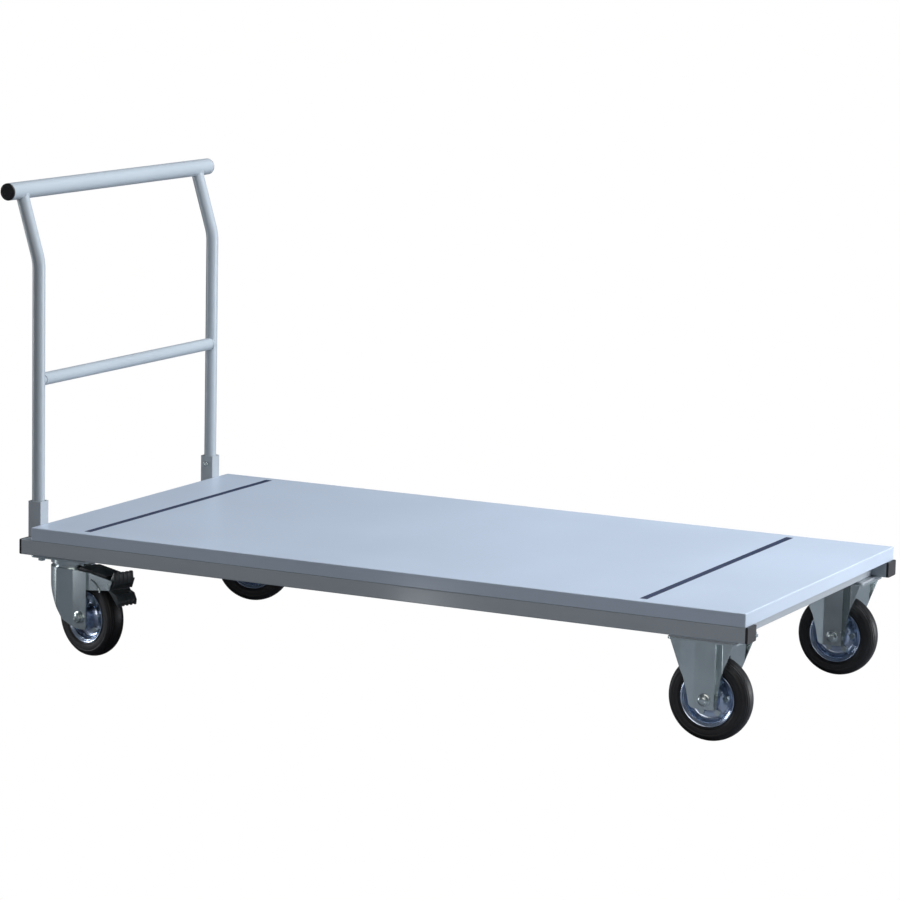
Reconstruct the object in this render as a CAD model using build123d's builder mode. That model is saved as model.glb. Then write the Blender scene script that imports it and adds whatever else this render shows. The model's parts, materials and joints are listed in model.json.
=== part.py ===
from build123d import *
import os
from math import cos, radians, sin, tan

# Platform cart with a lift-out push handle, two fixed casters and two braked swivel casters.
# +X runs from the handle end to the free end, +Y to the left of a person pushing, +Z up.
# The origin is on the floor, in the middle of the cart's overall length and width.
# All sizes are in millimetres.

# Deck: a folded steel tray with two flush anti-slip strips
DECK_LENGTH = 1500.0
DECK_WIDTH = 750.0
DECK_THICK = 25.0
DECK_SHEET = 2.0
DECK_LIP = 18.0
DECK_CORNER_R = 3.0
DECK_EDGE_R = 1.9
STRIP_LENGTH = 704.0
STRIP_WIDTH = 15.0
STRIP_THICK = 1.0
STRIP_FROM_REAR = 115.0
STRIP_FROM_FRONT = 208.0

# Chassis tubes
BEAM_WIDTH = 40.0
BEAM_HEIGHT = 30.0
BEAM_WALL = 2.5
BEAM_CORNER_R = 3.0
BEAM_REAR_REACH = 22.0
PLUG_FLANGE = 5.0
PLUG_DEPTH = 16.0
PLUG_FIT = 0.1
FRONT_MEMBER_SETBACK = 30.0
CROSS_MEMBER_COUNT = 5

# Handle and its sockets
LEG_D = 25.0
LEG_WALL = 2.0
SOCKET_WALL = 1.85
SOCKET_CLEAR = 0.15
SOCKET_HEIGHT = 70.0
LEG_INSET = 48.0
BAR_D = 33.7
BAR_WALL = 2.6
BAR_HEIGHT = 902.0
BAR_PLUG_FLANGE = 3.0
LEAN_ANGLE = 17.0
LEAN_X = 41.5
BEND_R = 90.0
RUNG_HEIGHT = 535.0
WELD_GAP = 0.05
SCREW_D = 6.0
SCREW_HEAD_D = 10.0
SCREW_HEAD_H = 4.5
SCREW_KEY = 5.0
SCREW_DROP = 16.5
SCREW_TIP_CLEAR = 0.3

# Casters, common
WHEEL_D = 160.0
CASTER_HEIGHT = 193.0
PAD_THICK = 4.0
PAD_INSET = 2.0
PLATE_LENGTH = 135.0
PLATE_WIDTH = 110.0
PLATE_THICK = 4.0
PLATE_CORNER_R = 10.0
HOLE_PITCH_X = 98.0
HOLE_PITCH_Y = 80.0
STUD_D = 8.0
STUD_CLEAR = 0.4
NUT_FLATS = 13.0
NUT_HEIGHT = 6.5
FORK_SHEET = 3.5
FORK_OUTER = 66.0
AXLE_D = 12.0
AXLE_HEAD_FLATS = 18.0
AXLE_HEAD_H = 7.5
AXLE_NUT_H = 10.0
AXLE_FIT = 0.1
SLEEVE_D = 20.0
HUB_CLEAR = 1.5
HUB_BORE_D = 27.0
HUB_D = 34.0
ROLLER_D = 3.2
ROLLER_COUNT = 12
RUN_FIT = 0.05
TREAD_WIDTH = 40.0
SHOULDER_DROP = 11.0
RIM_RIVETS = 6
RIM_RIVET_PCD = 62.0
RIM_RIVET_D = 6.0

# Fixed casters, at the front
FIXED_X = 664.0
FIXED_Y = 315.0
PANEL_WIDTH = 40.0
WING_RUN = 22.0
WING_RISE = 19.5
BEND_PANEL_R = 6.0
FIXED_FOOT_Z = 63.0
FIXED_FOOT_WIDTH = 52.0
FIXED_FOOT_R = 11.0

# Swivel casters, at the rear
SWIVEL_X = -698.0
SWIVEL_Y = 301.0
TRAIL = 54.0
TURN = 17.0
CROWN_TOP = 172.0
CROWN_R = 45.0
RACE_R = 33.0
RACE_HALF = 6.5
BALL_D = 6.4
BALL_COUNT = 26
BALL_CLEAR = 0.3
RACE_GAP = 3.0
KINGPIN_D = 12.0
KINGPIN_HEAD_D = 24.0
KINGPIN_GAP = 0.5
DUST_SKIRT_DROP = 10.0
DUST_SKIRT_WALL = 3.0
SWIVEL_FOOT_Z = 57.0
CHEEK_BEFORE_AXLE = 20.0
CHEEK_AFTER_AXLE = 20.0

# Brake on the swivel casters
ARM_SHEET = 2.5
ARM_END = 147.0
ARM_STEP_GAP = 0.3
ARM_FOOT_Z = 135.0
ARM_FOOT_RISE = 10.0
COVER_GAP = 1.0
COVER_END = 126.0
COVER_THICK = 6.0
COVER_WIDTH = 48.0
COVER_SLOPE = 0.1
PEDAL_X = 134.0
PEDAL_Z = 153.0
PEDAL_WIDTH = 50.0
PEDAL_PIN_D = 8.0
PEDAL_OUTLINE = [
    (-8.0, -2.0),
    (-6.0, 6.5),
    (3.0, 12.0),
    (9.5, 25.5),
    (14.5, 25.8),
    (15.5, 13.0),
    (14.0, 2.0),
    (7.5, -4.0),
    (4.5, -7.5),
    (8.0, -11.5),
    (19.0, -15.0),
    (26.0, -28.0),
    (25.0, -36.0),
    (20.5, -35.0),
    (5.0, -18.0),
    (-4.0, -11.0),
]

# Levels and places that follow from the sizes above
BEAM_Z = CASTER_HEIGHT + PAD_THICK
DECK_Z = BEAM_Z + BEAM_HEIGHT
DECK_TOP = DECK_Z + DECK_THICK
SOCKET_BORE = LEG_D + 2 * SOCKET_CLEAR
SOCKET_W = SOCKET_BORE + 2 * SOCKET_WALL
DECK_X = (SOCKET_W / 2 + LEAN_X + BAR_D / 2 - PLUG_FLANGE) / 2
DECK_FRONT = DECK_X + DECK_LENGTH / 2
DECK_REAR = DECK_X - DECK_LENGTH / 2
LEG_X = DECK_REAR - SOCKET_W / 2
LEG_Y = DECK_WIDTH / 2 - LEG_INSET
BEAM_Y = (DECK_WIDTH - BEAM_WIDTH) / 2
BEAM_INNER_Y = DECK_WIDTH / 2 - BEAM_WIDTH
BAR_X = LEG_X - LEAN_X
AXLE_Z = WHEEL_D / 2
PLATE_UNDER = CASTER_HEIGHT - PLATE_THICK
CHEEK_IN = FORK_OUTER / 2 - FORK_SHEET
SIDES = {"left": 1, "right": -1}


def save(piece, label):
    """Name a finished piece and write it."""
    piece.part.label = label
    export_step(piece.part, "parts/" + label + ".step")


def caster_plane(x, y, turn):
    """Floor plane of a caster: origin under its plate centre, local x towards the wheel's trail."""
    return Plane((x, y, 0), x_dir=(cos(radians(turn)), sin(radians(turn)), 0), z_dir=(0, 0, 1))


def across(base, x, z):
    """Plane square to the caster's local x: its own x runs along the axle, its own y is up."""
    return Plane(base.from_local_coords((x, 0, z)), x_dir=base.y_dir, z_dir=base.x_dir)


def beside(base, x, y, z):
    """Upright plane along the caster: its own x is the caster's local x, its own y is up."""
    return Plane(base.from_local_coords((x, y, z)), x_dir=base.x_dir, z_dir=-base.y_dir)


def along_x(x, y, z):
    """Plane square to the cart's length: its own x runs along +Y, its own y is up."""
    return Plane((x, y, z), x_dir=(0, 1, 0), z_dir=(1, 0, 0))


def along_y(x, y, z):
    """Plane square to the cart's width, facing +Y: its own x runs along -X, its own y is up."""
    return Plane((x, y, z), x_dir=(-1, 0, 0), z_dir=(0, 1, 0))


def tube_section(width, height, wall, corner):
    """Rounded rectangular tube section in the current sketch."""
    RectangleRounded(width, height, corner)
    inner_corner = max(corner - wall, 0.4)
    RectangleRounded(width - 2 * wall, height - 2 * wall, inner_corner, mode=Mode.SUBTRACT)


os.makedirs("parts", exist_ok=True)

# ---------------------------------------------------------------- deck
strip_x = {"rear": DECK_REAR + STRIP_FROM_REAR, "front": DECK_FRONT - STRIP_FROM_FRONT}

with BuildPart() as deck:
    with BuildSketch(Plane((DECK_X, 0, DECK_Z))):
        RectangleRounded(DECK_LENGTH, DECK_WIDTH, DECK_CORNER_R)
    extrude(amount=DECK_THICK)
    with BuildSketch(Plane((DECK_X, 0, DECK_Z))):
        Rectangle(DECK_LENGTH - 2 * DECK_SHEET, DECK_WIDTH - 2 * DECK_SHEET)
    extrude(amount=DECK_THICK - DECK_SHEET, mode=Mode.SUBTRACT)
    fillet(deck.faces().sort_by(Axis.Z)[-1].edges(), radius=DECK_EDGE_R)
    with BuildSketch(Plane((DECK_X, 0, DECK_Z))):
        Rectangle(DECK_LENGTH - 2 * DECK_SHEET, DECK_WIDTH - 2 * DECK_SHEET)
        Rectangle(DECK_LENGTH - 2 * DECK_LIP, DECK_WIDTH - 2 * DECK_LIP, mode=Mode.SUBTRACT)
    extrude(amount=DECK_SHEET)
    with BuildSketch(Plane.XY.offset(DECK_TOP)):
        for x in strip_x.values():
            with Locations((x, 0)):
                Rectangle(STRIP_WIDTH, STRIP_LENGTH)
    extrude(amount=-STRIP_THICK, mode=Mode.SUBTRACT)
save(deck, "deck")

for end, x in strip_x.items():
    with BuildPart() as strip:
        with BuildSketch(Plane((x, 0, DECK_TOP))):
            Rectangle(STRIP_WIDTH, STRIP_LENGTH)
        extrude(amount=-STRIP_THICK)
    save(strip, end + "_grip_strip")

# ---------------------------------------------------------------- chassis
BEAM_START = DECK_REAR - BEAM_REAR_REACH
BEAM_MID_Z = BEAM_Z + BEAM_HEIGHT / 2

for side, sign in SIDES.items():
    with BuildPart() as beam:
        with BuildSketch(along_x(BEAM_START, sign * BEAM_Y, BEAM_MID_Z)):
            tube_section(BEAM_WIDTH, BEAM_HEIGHT, BEAM_WALL, BEAM_CORNER_R)
        extrude(amount=DECK_FRONT - BEAM_START)
    save(beam, "side_beam_" + side)

with BuildPart() as beam_plugs:
    for sign in SIDES.values():
        for x, out in ((BEAM_START, -1), (DECK_FRONT, 1)):
            with BuildSketch(along_x(x, sign * BEAM_Y, BEAM_MID_Z)):
                RectangleRounded(BEAM_WIDTH, BEAM_HEIGHT, BEAM_CORNER_R)
            extrude(amount=out * PLUG_FLANGE)
            with BuildSketch(along_x(x, sign * BEAM_Y, BEAM_MID_Z)):
                slack = 2 * (BEAM_WALL + PLUG_FIT)
                RectangleRounded(BEAM_WIDTH - slack, BEAM_HEIGHT - slack, BEAM_CORNER_R - BEAM_WALL + 1)
            extrude(amount=-out * PLUG_DEPTH)
save(beam_plugs, "beam_end_plugs")

rear_member_x = LEG_X
front_member_x = DECK_FRONT - FRONT_MEMBER_SETBACK - BEAM_WIDTH / 2
for label, x, width in (
    ("front_cross_member", front_member_x, BEAM_WIDTH),
    ("rear_cross_member", rear_member_x, BEAM_HEIGHT),
):
    with BuildPart() as member:
        with BuildSketch(along_y(x, -BEAM_INNER_Y, BEAM_MID_Z)):
            tube_section(width, BEAM_HEIGHT, BEAM_WALL, BEAM_CORNER_R)
        extrude(amount=2 * BEAM_INNER_Y)
    save(member, label)

caster_x = {"front": DECK_X + FIXED_X, "rear": DECK_X + SWIVEL_X}
member_pitch = (caster_x["front"] - BEAM_WIDTH - caster_x["rear"]) / (CROSS_MEMBER_COUNT - 1)
with BuildPart() as cross_members:
    for index in range(CROSS_MEMBER_COUNT):
        with BuildSketch(along_y(caster_x["rear"] + index * member_pitch, -BEAM_INNER_Y, BEAM_MID_Z)):
            tube_section(BEAM_WIDTH, BEAM_HEIGHT, BEAM_WALL, BEAM_CORNER_R)
        extrude(amount=2 * BEAM_INNER_Y)
save(cross_members, "middle_cross_members")

# ---------------------------------------------------------------- caster pads, studs and nuts
plate_centres = [(caster_x["front"], sign * FIXED_Y) for sign in SIDES.values()]
plate_centres += [(caster_x["rear"], sign * SWIVEL_Y) for sign in SIDES.values()]

with BuildPart() as pads:
    with BuildSketch(Plane.XY.offset(CASTER_HEIGHT)):
        with Locations(plate_centres):
            RectangleRounded(PLATE_LENGTH - 2 * PAD_INSET, PLATE_WIDTH - 2 * PAD_INSET, PLATE_CORNER_R - PAD_INSET)
        for centre in plate_centres:
            with Locations(centre):
                with GridLocations(HOLE_PITCH_X, HOLE_PITCH_Y, 2, 2):
                    Circle(STUD_D / 2 + RUN_FIT, mode=Mode.SUBTRACT)
    extrude(amount=PAD_THICK)
save(pads, "caster_pads")

with BuildPart() as studs:
    with BuildSketch(Plane.XY.offset(BEAM_Z)):
        for centre in plate_centres:
            with Locations(centre):
                with GridLocations(HOLE_PITCH_X, HOLE_PITCH_Y, 2, 2):
                    Circle(STUD_D / 2)
    extrude(amount=-(PAD_THICK + PLATE_THICK + NUT_HEIGHT + 1))
save(studs, "caster_studs")

with BuildPart() as nuts:
    with BuildSketch(Plane.XY.offset(PLATE_UNDER)):
        for centre in plate_centres:
            with Locations(centre):
                with GridLocations(HOLE_PITCH_X, HOLE_PITCH_Y, 2, 2):
                    RegularPolygon(NUT_FLATS / 2, 6, major_radius=False)
                    Circle(STUD_D / 2 + RUN_FIT, mode=Mode.SUBTRACT)
    extrude(amount=-NUT_HEIGHT)
save(nuts, "caster_nuts")

# ---------------------------------------------------------------- handle sockets and clamp screws
screw_z = DECK_Z + SOCKET_HEIGHT - SCREW_DROP

for side, sign in SIDES.items():
    inner_face = sign * (LEG_Y - SOCKET_W / 2)
    inward = Plane((LEG_X, inner_face, screw_z), x_dir=(1, 0, 0), z_dir=(0, -sign, 0))
    with BuildPart() as socket:
        with BuildSketch(Plane((LEG_X, sign * LEG_Y, DECK_Z))):
            RectangleRounded(SOCKET_W, SOCKET_W, SOCKET_WALL)
            Rectangle(SOCKET_BORE, SOCKET_BORE, mode=Mode.SUBTRACT)
        extrude(amount=SOCKET_HEIGHT)
        with BuildSketch(inward):
            Circle(SCREW_D / 2 + RUN_FIT)
        extrude(amount=-SOCKET_WALL - 1, mode=Mode.SUBTRACT)
    save(socket, "handle_socket_" + side)

    with BuildPart() as screw:
        with BuildSketch(inward.offset(RUN_FIT)):
            Circle(SCREW_HEAD_D / 2)
        extrude(amount=SCREW_HEAD_H)
        fillet(screw.faces().sort_by(Axis.Y)[0 if sign > 0 else -1].edges(), radius=1)
        with BuildSketch(inward.offset(RUN_FIT)):
            Circle(SCREW_D / 2)
        extrude(amount=-(SOCKET_WALL + SOCKET_CLEAR + RUN_FIT - SCREW_TIP_CLEAR))
        with BuildSketch(inward.offset(RUN_FIT + SCREW_HEAD_H)):
            RegularPolygon(SCREW_KEY / 2, 6, major_radius=False)
        extrude(amount=-SCREW_HEAD_H + 1.5, mode=Mode.SUBTRACT)
    save(screw, "clamp_screw_" + side)

# ---------------------------------------------------------------- handle
bend_rise = BEND_R * sin(radians(LEAN_ANGLE))
bend_shift = BEND_R * (1 - cos(radians(LEAN_ANGLE)))
upper_run = (LEAN_X - bend_shift) / sin(radians(LEAN_ANGLE))
bend_z = BAR_HEIGHT - bend_rise - upper_run * cos(radians(LEAN_ANGLE))

for side, sign in SIDES.items():
    with BuildPart() as leg:
        with BuildLine(Plane((LEG_X, sign * LEG_Y, 0), x_dir=(-1, 0, 0), z_dir=(0, 1, 0))) as leg_path:
            Line((0, DECK_Z), (0, bend_z))
            CenterArc((BEND_R, bend_z), BEND_R, 180, -LEAN_ANGLE)
            Line((bend_shift, bend_z + bend_rise), (LEAN_X, BAR_HEIGHT))
        with BuildSketch(Plane((LEG_X, sign * LEG_Y, DECK_Z))):
            Circle(LEG_D / 2)
            Circle(LEG_D / 2 - LEG_WALL, mode=Mode.SUBTRACT)
        sweep(path=leg_path.wires()[0])
        with BuildSketch(along_y(BAR_X, sign * LEG_Y - LEG_D, BAR_HEIGHT)):
            Circle(BAR_D / 2 + WELD_GAP)
        extrude(amount=2 * LEG_D, mode=Mode.SUBTRACT)
    save(leg, "handle_leg_" + side)

with BuildPart() as rung:
    with BuildSketch(along_y(LEG_X, -LEG_Y, RUNG_HEIGHT)):
        Circle(LEG_D / 2)
        Circle(LEG_D / 2 - LEG_WALL, mode=Mode.SUBTRACT)
    extrude(amount=2 * LEG_Y)
    with BuildSketch(Plane.XY.offset(RUNG_HEIGHT - LEG_D)):
        with Locations((LEG_X, LEG_Y), (LEG_X, -LEG_Y)):
            Circle(LEG_D / 2 + WELD_GAP)
    extrude(amount=2 * LEG_D, mode=Mode.SUBTRACT)
save(rung, "handle_rung")

bar_half = DECK_WIDTH / 2 - BAR_PLUG_FLANGE
with BuildPart() as grip_bar:
    with BuildSketch(along_y(BAR_X, -bar_half, BAR_HEIGHT)):
        Circle(BAR_D / 2)
        Circle(BAR_D / 2 - BAR_WALL, mode=Mode.SUBTRACT)
    extrude(amount=2 * bar_half)
save(grip_bar, "grip_bar")

with BuildPart() as bar_plugs:
    for sign in SIDES.values():
        face = Plane((BAR_X, sign * bar_half, BAR_HEIGHT), x_dir=(1, 0, 0), z_dir=(0, sign, 0))
        with BuildSketch(face):
            Circle(BAR_D / 2)
        extrude(amount=BAR_PLUG_FLANGE)
        with BuildSketch(face):
            Circle(BAR_D / 2 - BAR_WALL - PLUG_FIT)
        extrude(amount=-PLUG_DEPTH)
    outer_faces = bar_plugs.faces().filter_by(Axis.Y).sort_by(Axis.Y)
    fillet([outer_faces[0].edges(), outer_faces[-1].edges()], radius=1.2)
save(bar_plugs, "grip_bar_plugs")


# ---------------------------------------------------------------- wheel, used four times
def axle_axis(base, x):
    """Line of the axle, along the caster's local y."""
    return Axis(base.from_local_coords((x, 0, AXLE_Z)), base.y_dir)


HUB_HALF = CHEEK_IN - HUB_CLEAR
RIM_SEAT = [(0, 43.5), (14.0, 47.6), (16.3, 51.2)]
RIM_LIP = [(17.6, 51.8), (18.6, 51.0)]
RIM_DISC = [(15.8, 45.6), (5.2, 41.0), (3.0, 38.0), (3.0, 24.0), (6.0, 20.0), (6.0, HUB_D / 2)]
HUB_OUTLINE = [(HUB_HALF, HUB_D / 2), (HUB_HALF, HUB_BORE_D / 2), (0, HUB_BORE_D / 2)]


def make_tyre(base, x, label):
    half = TREAD_WIDTH / 2
    top = WHEEL_D / 2
    with BuildPart() as tyre:
        with BuildSketch(across(base, x, AXLE_Z)):
            with BuildLine():
                Polyline(RIM_SEAT + [(RIM_SEAT[-1][0] + 1.5, 54.0)])
                Line((RIM_SEAT[-1][0] + 1.5, 54.0), (half, 59.0))
                Line((half, 59.0), (half, top - SHOULDER_DROP))
                ThreePointArc((half, top - SHOULDER_DROP), (half * 0.78, top - 5.0), (half * 0.4, top - 1.1))
                ThreePointArc((half * 0.4, top - 1.1), (half * 0.2, top - 0.27), (0, top))
                mirror(about=Plane.YZ)
            make_face()
        revolve(axis=axle_axis(base, x))
    save(tyre, label + "_tyre")


def make_rim(base, x, label):
    with BuildPart() as rim:
        with BuildSketch(across(base, x, AXLE_Z)):
            with BuildLine():
                Polyline(RIM_SEAT + RIM_LIP + RIM_DISC + HUB_OUTLINE)
                mirror(about=Plane.YZ)
            make_face()
        revolve(axis=axle_axis(base, x))
        with BuildSketch(beside(base, x, TREAD_WIDTH / 2, AXLE_Z)):
            with PolarLocations(RIM_RIVET_PCD / 2, RIM_RIVETS):
                Circle(RIM_RIVET_D / 2 + RUN_FIT)
        extrude(amount=TREAD_WIDTH, mode=Mode.SUBTRACT)
    save(rim, label + "_rim")
    web = RIM_DISC[2][0]
    with BuildPart() as rivets:
        with BuildSketch(beside(base, x, web + 2.5, AXLE_Z)):
            with PolarLocations(RIM_RIVET_PCD / 2, RIM_RIVETS):
                Circle(RIM_RIVET_D / 2)
        extrude(amount=2 * (web + 2.5))
        for y, out in ((web, -1), (-web, 1)):
            with BuildSketch(beside(base, x, y, AXLE_Z)):
                with PolarLocations(RIM_RIVET_PCD / 2, RIM_RIVETS):
                    RegularPolygon(RIM_RIVET_D * 0.85, 6, major_radius=False)
            extrude(amount=out * 4.0)
    save(rivets, label + "_rim_bolts")


def make_bearing(base, x, label):
    inner = SLEEVE_D / 2 + RUN_FIT
    middle = (SLEEVE_D + HUB_BORE_D) / 4
    with BuildPart() as bearing:
        with BuildSketch(beside(base, x, HUB_HALF, AXLE_Z)):
            Circle(HUB_BORE_D / 2)
            Circle(inner, mode=Mode.SUBTRACT)
            with PolarLocations(middle, ROLLER_COUNT):
                Rectangle(HUB_BORE_D, ROLLER_D + 0.2, mode=Mode.SUBTRACT)
        extrude(amount=2 * HUB_HALF)
        for y in (HUB_HALF, -HUB_HALF + 3.0):
            with BuildSketch(beside(base, x, y, AXLE_Z)):
                Circle(HUB_BORE_D / 2)
                Circle(inner, mode=Mode.SUBTRACT)
            extrude(amount=3.0)
        with BuildSketch(beside(base, x, HUB_HALF - 3.2, AXLE_Z)):
            with PolarLocations(middle, ROLLER_COUNT):
                Circle(ROLLER_D / 2)
        extrude(amount=2 * (HUB_HALF - 3.2))
    save(bearing, label + "_roller_bearing")


def make_wheel(base, x, label):
    make_tyre(base, x, label)
    make_rim(base, x, label)
    make_bearing(base, x, label)


def axle_set(base, x):
    """Bolt head outside one cheek, shank through both, and the sleeve that the rollers run on."""
    with BuildPart() as axle:
        with BuildSketch(beside(base, x, -FORK_OUTER / 2, AXLE_Z)):
            RegularPolygon(AXLE_HEAD_FLATS / 2, 6, major_radius=False)
        extrude(amount=AXLE_HEAD_H)
        with BuildSketch(beside(base, x, -FORK_OUTER / 2, AXLE_Z)):
            Circle(AXLE_D / 2)
        extrude(amount=-(FORK_OUTER + AXLE_NUT_H + 3))
        with BuildSketch(beside(base, x, CHEEK_IN, AXLE_Z)):
            Circle(SLEEVE_D / 2)
            Circle(AXLE_D / 2 + AXLE_FIT, mode=Mode.SUBTRACT)
        extrude(amount=2 * CHEEK_IN)
    return axle.part


def axle_nut(base, x):
    with BuildPart() as nut:
        with BuildSketch(beside(base, x, FORK_OUTER / 2 + AXLE_NUT_H, AXLE_Z)):
            RegularPolygon(AXLE_HEAD_FLATS / 2, 6, major_radius=False)
            Circle(AXLE_D / 2 + RUN_FIT, mode=Mode.SUBTRACT)
        extrude(amount=AXLE_NUT_H)
    return nut.part


def axle_drill(base, x):
    """Rod to cut the axle's hole through both cheeks."""
    with BuildPart() as drill:
        with BuildSketch(beside(base, x, FORK_OUTER, AXLE_Z)):
            Circle(AXLE_D / 2 + RUN_FIT)
        extrude(amount=2 * FORK_OUTER)
    return drill.part


def top_plate(base):
    """Caster top plate with its four stud holes."""
    with BuildPart() as plate:
        with BuildSketch(base.offset(PLATE_UNDER)):
            RectangleRounded(PLATE_LENGTH, PLATE_WIDTH, PLATE_CORNER_R)
            with GridLocations(HOLE_PITCH_X, HOLE_PITCH_Y, 2, 2):
                Circle(STUD_D / 2 + STUD_CLEAR, mode=Mode.SUBTRACT)
        extrude(amount=PLATE_THICK)
    return plate.part


# ---------------------------------------------------------------- fixed casters
fixed_bases = {side: caster_plane(caster_x["front"], sign * FIXED_Y, 0) for side, sign in SIDES.items()}
panel_half = PANEL_WIDTH / 2
wing_end = PLATE_LENGTH / 2 - 1
cheek_mid = CHEEK_IN + FORK_SHEET / 2
wing_y = cheek_mid + WING_RISE
foot_half = FIXED_FOOT_WIDTH / 2
fixed_edge = [
    (foot_half, FIXED_FOOT_Z),
    (foot_half + 4.5, AXLE_Z + 16),
    (foot_half + 10, AXLE_Z + 43),
    (foot_half + 18, AXLE_Z + 66),
    (wing_end - 6, PLATE_UNDER),
]

for side, base in fixed_bases.items():
    fork_plate = top_plate(base)
    drill = axle_drill(base, 0)
    with BuildPart() as fork:
        for out in (1, -1):
            with BuildSketch(base.offset(FIXED_FOOT_Z)):
                with BuildLine():
                    FilletPolyline(
                        (-wing_end, out * wing_y),
                        (-panel_half - WING_RUN, out * wing_y),
                        (-panel_half, out * cheek_mid),
                        (panel_half, out * cheek_mid),
                        (panel_half + WING_RUN, out * wing_y),
                        (wing_end, out * wing_y),
                        radius=BEND_PANEL_R,
                    )
                trace(line_width=FORK_SHEET)
            extrude(amount=PLATE_UNDER - FIXED_FOOT_Z)
        with BuildSketch(beside(base, 0, PLATE_WIDTH, 0)) as cheek_outline:
            with BuildLine():
                Polyline(fixed_edge)
                Polyline([(-x, z) for x, z in fixed_edge])
                Line((-foot_half, FIXED_FOOT_Z), (foot_half, FIXED_FOOT_Z))
                Line((-fixed_edge[-1][0], PLATE_UNDER), (fixed_edge[-1][0], PLATE_UNDER))
            make_face()
            fillet(cheek_outline.vertices().sort_by(Axis.Y)[:2], radius=FIXED_FOOT_R)
        extrude(amount=2 * PLATE_WIDTH, mode=Mode.INTERSECT)
        add(fork_plate)
        add(drill, mode=Mode.SUBTRACT)
    save(fork, "front_fork_" + side)
    make_wheel(base, 0, "front_" + side)

front_axle_sets = [axle_set(base, 0) for base in fixed_bases.values()]
with BuildPart() as front_axles:
    add(front_axle_sets)
save(front_axles, "front_axles")

front_nuts = [axle_nut(base, 0) for base in fixed_bases.values()]
with BuildPart() as front_axle_nuts:
    add(front_nuts)
save(front_axle_nuts, "front_axle_nuts")

# ---------------------------------------------------------------- swivel casters
swivel_bases = {
    side: caster_plane(caster_x["rear"], sign * SWIVEL_Y, sign * TURN) for side, sign in SIDES.items()
}
square_bases = {side: caster_plane(caster_x["rear"], sign * SWIVEL_Y, 0) for side, sign in SIDES.items()}
race_inner = RACE_R - RACE_HALF
race_outer = RACE_R + RACE_HALF
race_mid = (CROWN_TOP + PLATE_UNDER) / 2
groove_r = BALL_D / 2 + BALL_CLEAR
fork_front = TRAIL + CHEEK_AFTER_AXLE
panel_start = TRAIL - CHEEK_BEFORE_AXLE
kingpin_nut_z = CROWN_TOP - FORK_SHEET - KINGPIN_GAP


def ball_groove(base):
    """Ring to cut the groove that the balls run in."""
    with BuildPart() as groove:
        with BuildSketch(across(base, 0, race_mid)):
            with Locations((RACE_R, 0)):
                Circle(groove_r)
        revolve(axis=Axis(base.origin, base.z_dir))
    return groove.part


def bearing_race(base, low, high):
    with BuildPart() as race:
        with BuildSketch(base.offset(low)):
            Circle(race_outer)
            Circle(race_inner, mode=Mode.SUBTRACT)
        extrude(amount=high - low)
    return race.part


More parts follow.
